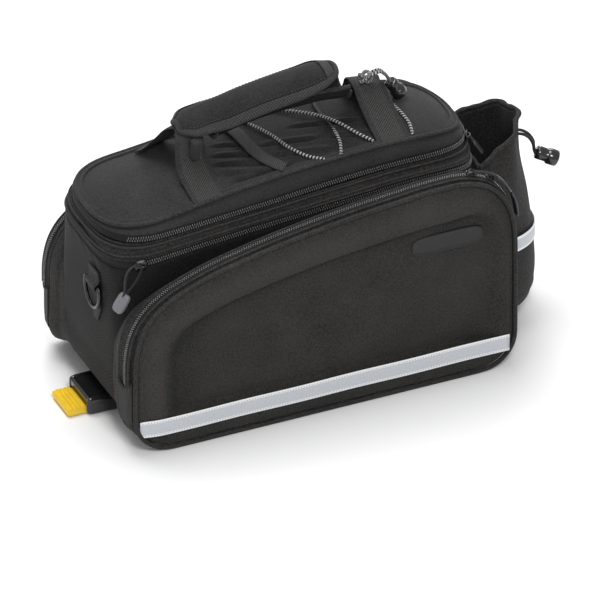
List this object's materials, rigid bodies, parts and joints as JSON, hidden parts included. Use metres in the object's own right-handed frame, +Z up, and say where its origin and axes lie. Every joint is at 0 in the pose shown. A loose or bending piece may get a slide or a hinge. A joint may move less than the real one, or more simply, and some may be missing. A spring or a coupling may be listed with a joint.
{
  "type": "bicycle trunk bag",
  "caption": "Soft trunk bag for a bicycle rack with moulded side compartments, a zipped lid, a padded handle, a rear bottle pocket and a quick-release slide plate.",
  "frame": {"origin": "bottom centre of the bag's box, on the plane it stands on", "axes": "+X towards the bottle pocket at the rear, -X towards the release lever, +Z up, -Y the side with the badge"},
  "size_m": [0.4701, 0.2018, 0.2982],
  "materials": {
    "black_cloth": "woven polyester, matt",
    "lid_cloth": "woven polyester, matt",
    "moulded_cloth": "moulded foam under woven cloth, matt",
    "zip_tape": "coil zip on tape",
    "piping": "woven binding",
    "webbing": "twill webbing",
    "lining": "mesh lining",
    "reflective": "glass-bead reflective tape",
    "black_plastic": "moulded, satin",
    "yellow_plastic": "moulded, satin",
    "dark_metal": "dark plated",
    "rubber": "soft moulded",
    "grey_rubber": "soft moulded",
    "cord": "braided elastic"
  },
  "bodies": {
    "bag": {"main_body": "black_cloth", "body_zip": "zip_tape", "collar": "black_cloth", "lid_zip": "zip_tape", "lid": "lid_cloth", "lid_piping": "piping", "gusset_near": "black_cloth", "gusset_far": "black_cloth", "shell_near": "moulded_cloth", "shell_far": "moulded_cloth", "side_zip_near": "zip_tape", "side_zip_far": "zip_tape", "shell_piping_near": "piping", "shell_piping_far": "piping", "strip_near": "reflective", "strip_far": "reflective", "patch": "black_plastic", "bottle_pocket": "black_cloth", "pocket_hem": "piping", "strip_pocket": "reflective", "handle_wrap": "lid_cloth", "handle_flap": "lining", "handle_tab": "lid_cloth", "strap_front": "webbing", "strap_rear": "webbing", "lid_band": "webbing", "lace_a": "cord", "lace_b": "cord", "lace_c": "cord", "lace_d": "cord", "lace_knot": "cord", "lace_lock": "black_plastic", "slide_plate": "black_plastic", "plate_housing": "black_plastic", "dring_tab": "webbing", "body_slider_near": "dark_metal", "body_slider_far": "dark_metal", "lid_slider_near": "dark_metal", "lid_slider_far": "dark_metal", "lid_pull_near": "rubber", "lid_pull_far": "rubber", "pull_cord": "cord", "pull_tab": "grey_rubber", "side_slider_upper_near": "dark_metal", "side_slider_upper_far": "dark_metal", "side_slider_lower_near": "dark_metal", "side_slider_lower_far": "dark_metal", "side_pull_upper_near": "rubber", "side_pull_upper_far": "rubber", "side_pull_lower_near": "rubber", "side_pull_lower_far": "rubber", "drawcord_a": "cord", "drawcord_b": "cord", "drawcord_lock": "black_plastic"},
    "lever": {"release_lever": "yellow_plastic"},
    "ring": {"d_ring": "dark_metal"}
  },
  "joints": [
    {"name": "lever_lift", "type": "hinge", "parent": "bag", "child": "lever", "pos_m": [-0.1879, 0, 0.00415], "axis": [0, 1, 0], "range_deg": [0, 6], "stiffness_Nm_per_rad": 3},
    {"name": "d_ring_swing", "type": "hinge", "parent": "bag", "child": "ring", "pos_m": [-0.20538, -0.023, 0.141], "axis": [0, 1, 0], "range_deg": [0, 110]}
  ]
}
